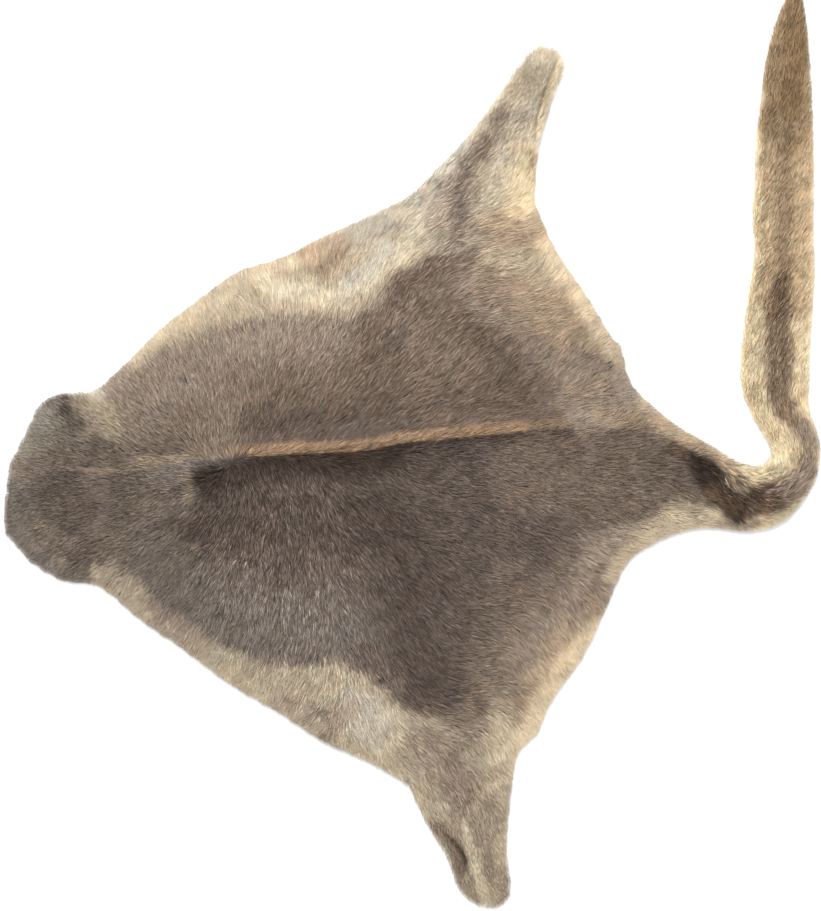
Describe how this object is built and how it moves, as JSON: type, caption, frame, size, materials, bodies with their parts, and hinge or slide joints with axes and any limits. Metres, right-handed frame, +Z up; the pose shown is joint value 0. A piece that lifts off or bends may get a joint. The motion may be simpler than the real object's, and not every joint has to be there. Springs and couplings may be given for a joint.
{
  "type": "kangaroo hide",
  "caption": "Hair-on kangaroo hide in one piece, head to tail, lying flat hair side up with its spine crease and bent tail.",
  "frame": {"origin": "on the surface it lies on, under the centre of its bounding box", "axes": "+X from the nose to the root of the tail, +Y across the back towards the side the tail bends to, +Z up out of the hair side"},
  "size_m": [1.2238, 1.3798, 0.0298],
  "materials": {
    "fur": "matt coat of fine grey-brown hair with cream edges, lying flat",
    "skin": "matt suede flesh side, chrome tanned, cream grey"
  },
  "bodies": {
    "root": {"hide": "fur"}
  },
  "joints": []
}
